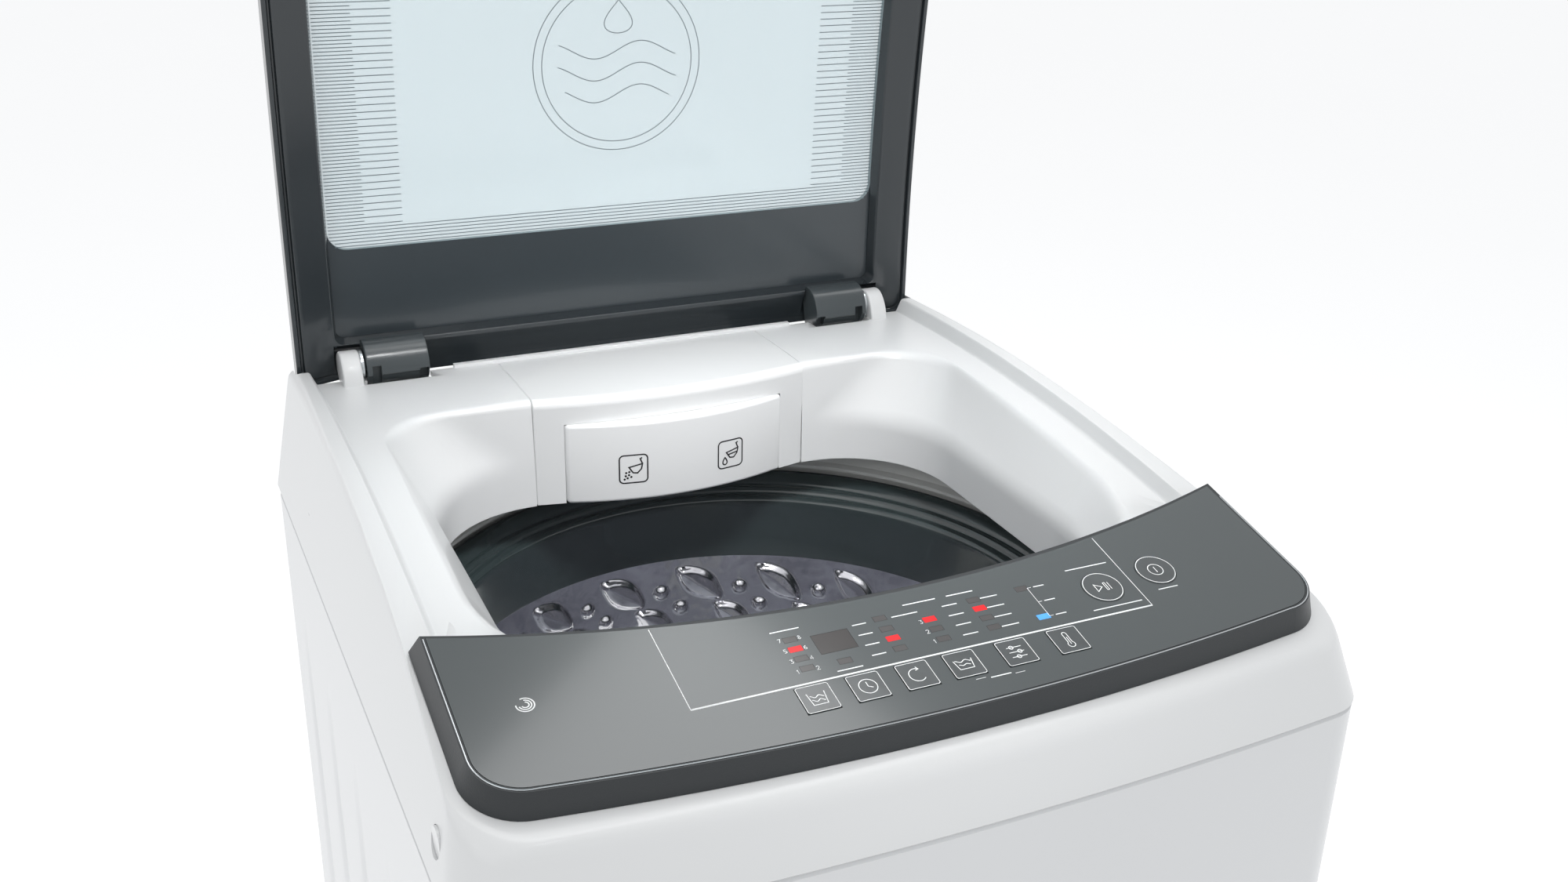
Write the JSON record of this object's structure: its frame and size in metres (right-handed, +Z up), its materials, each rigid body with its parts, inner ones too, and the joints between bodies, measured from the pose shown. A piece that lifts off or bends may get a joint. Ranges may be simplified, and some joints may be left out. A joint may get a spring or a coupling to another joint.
{
  "type": "top load washing machine",
  "caption": "Top load washing machine with its glass lid open, showing the steel basket, balance ring, detergent drawer and the key panel on the sloping front edge.",
  "frame": {"origin": "on the floor at the middle of the footprint", "axes": "+Z up, -Y towards the person who uses it, +X to that person's right"},
  "size_m": [0.54, 0.569, 1.334],
  "materials": {
    "steel_case": "gloss",
    "rear_sheet": "satin",
    "bright_steel": "satin",
    "white_plastic": "gloss",
    "base_plastic": "satin",
    "panel_charcoal": "gloss",
    "panel_grey": "gloss",
    "lens": "gloss",
    "silver_key": "satin",
    "board": "satin",
    "tempered_glass": "gloss",
    "soft_rubber": "matte",
    "foot_steel": "satin",
    "grey_bush": "satin",
    "inner_plastic": "satin",
    "ring_plastic": "satin",
    "basket_steel": "polished",
    "basket_plastic": "satin",
    "cast_alloy": "satin",
    "motor_steel": "satin"
  },
  "bodies": {
    "cabinet": {"cabinet_wrap": "steel_case", "rear_panel": "rear_sheet", "case_screws": "bright_steel", "cord_gland": "soft_rubber", "base_frame": "base_plastic", "rear_feet": "soft_rubber", "foot_lock_nuts": "bright_steel", "drain_spigot": "base_plastic", "drain_hose": "soft_rubber", "top_cover": "white_plastic", "screw_caps": "white_plastic", "control_bezel": "panel_charcoal", "control_overlay": "panel_grey", "display_window": "lens", "indicator_lenses": "lens", "control_board": "board", "dispenser_housing": "white_plastic", "water_inlet_valve": "inner_plastic", "inlet_hose": "soft_rubber", "hinge_pins": "bright_steel", "hinge_bushes": "grey_bush", "lid_switch": "inner_plastic", "pressure_sensor": "inner_plastic", "suspension_brackets": "rear_sheet", "suspension_rods": "bright_steel", "suspension_springs": "bright_steel"},
    "lid": {"lid_frame": "white_plastic", "lid_glass": "tempered_glass", "hinge_covers": "white_plastic", "lid_bumpers": "soft_rubber"},
    "dispenser_drawer": {"dispenser_drawer": "white_plastic", "siphon_cap": "grey_bush"},
    "front_foot_left": {"front_foot_left": "foot_steel"},
    "front_foot_right": {"front_foot_right": "foot_steel"},
    "tub": {"outer_tub": "inner_plastic", "tub_cover": "inner_plastic", "tub_bracket": "rear_sheet", "damper_cups": "grey_bush", "gearcase": "cast_alloy", "drive_motor": "motor_steel", "drive_belt": "soft_rubber", "drain_valve": "inner_plastic"},
    "basket": {"balance_ring": "ring_plastic", "basket_wall": "basket_steel", "basket_base": "basket_plastic", "lint_filters": "basket_plastic", "spin_shaft": "bright_steel"},
    "agitator": {"pulsator": "basket_plastic", "pulsator_cap": "basket_plastic", "pulsator_shaft": "bright_steel", "drive_pulley": "cast_alloy"},
    "motor_rotor": {"motor_pulley": "cast_alloy"},
    "key_water_level": {"key_water_level": "silver_key"},
    "key_delay": {"key_delay": "silver_key"},
    "key_function": {"key_function": "silver_key"},
    "key_rinse": {"key_rinse": "silver_key"},
    "key_program": {"key_program": "silver_key"},
    "key_temperature": {"key_temperature": "silver_key"},
    "start_pause_button": {"start_pause_button": "silver_key"},
    "power_button": {"power_button": "silver_key"}
  },
  "joints": [
    {"name": "lid_hinge", "type": "hinge", "parent": "cabinet", "child": "lid", "pos_m": [0, 0.265, 0.915], "axis": [1, 0, 0], "range_deg": [0, 88]},
    {"name": "drawer_slide", "type": "slide", "parent": "cabinet", "child": "dispenser_drawer", "axis": [0, -1, 0], "range_m": [0, 0.085]},
    {"name": "tub_suspension", "type": "slide", "parent": "cabinet", "child": "tub", "axis": [0, 0, 1], "range_m": [-0.015, 0.01], "stiffness_N_per_m": 12000, "springref_m": 0.02492, "deforming": ["suspension_springs"]},
    {"name": "basket_spin", "type": "hinge", "parent": "tub", "child": "basket", "pos_m": [0, 0.01, 0.3], "axis": [0, 0, 1], "continuous": true},
    {"name": "agitator_turn", "type": "hinge", "parent": "tub", "child": "agitator", "pos_m": [0, 0.01, 0.3], "axis": [0, 0, 1], "continuous": true},
    {"name": "motor_turn", "type": "hinge", "parent": "tub", "child": "motor_rotor", "pos_m": [0, -0.14, 0.18], "axis": [0, 0, 1], "continuous": true},
    {"name": "foot_level_left", "type": "slide", "parent": "cabinet", "child": "front_foot_left", "axis": [0, 0, -1], "range_m": [0, 0.01]},
    {"name": "foot_level_right", "type": "slide", "parent": "cabinet", "child": "front_foot_right", "axis": [0, 0, -1], "range_m": [0, 0.01]},
    {"name": "press_key_water_level", "type": "slide", "parent": "cabinet", "child": "key_water_level", "axis": [0, 0.2198, -0.9755], "range_m": [0, 0.0008], "stiffness_N_per_m": 300, "springref_m": -0.001},
    {"name": "press_key_delay", "type": "slide", "parent": "cabinet", "child": "key_delay", "axis": [0, 0.2198, -0.9755], "range_m": [0, 0.0008], "stiffness_N_per_m": 300, "springref_m": -0.001},
    {"name": "press_key_function", "type": "slide", "parent": "cabinet", "child": "key_function", "axis": [0, 0.2198, -0.9755], "range_m": [0, 0.0008], "stiffness_N_per_m": 300, "springref_m": -0.001},
    {"name": "press_key_rinse", "type": "slide", "parent": "cabinet", "child": "key_rinse", "axis": [0, 0.2198, -0.9755], "range_m": [0, 0.0008], "stiffness_N_per_m": 300, "springref_m": -0.001},
    {"name": "press_key_program", "type": "slide", "parent": "cabinet", "child": "key_program", "axis": [0, 0.2198, -0.9755], "range_m": [0, 0.0008], "stiffness_N_per_m": 300, "springref_m": -0.001},
    {"name": "press_key_temperature", "type": "slide", "parent": "cabinet", "child": "key_temperature", "axis": [0, 0.2198, -0.9755], "range_m": [0, 0.0008], "stiffness_N_per_m": 300, "springref_m": -0.001},
    {"name": "press_start_pause_button", "type": "slide", "parent": "cabinet", "child": "start_pause_button", "axis": [0, 0.2198, -0.9755], "range_m": [0, 0.0008], "stiffness_N_per_m": 300, "springref_m": -0.001},
    {"name": "press_power_button", "type": "slide", "parent": "cabinet", "child": "power_button", "axis": [0, 0.2198, -0.9755], "range_m": [0, 0.0008], "stiffness_N_per_m": 300, "springref_m": -0.001}
  ],
  "couplings": [
    {"joint": "motor_turn", "follows": "agitator_turn", "ratio": 3}
  ]
}
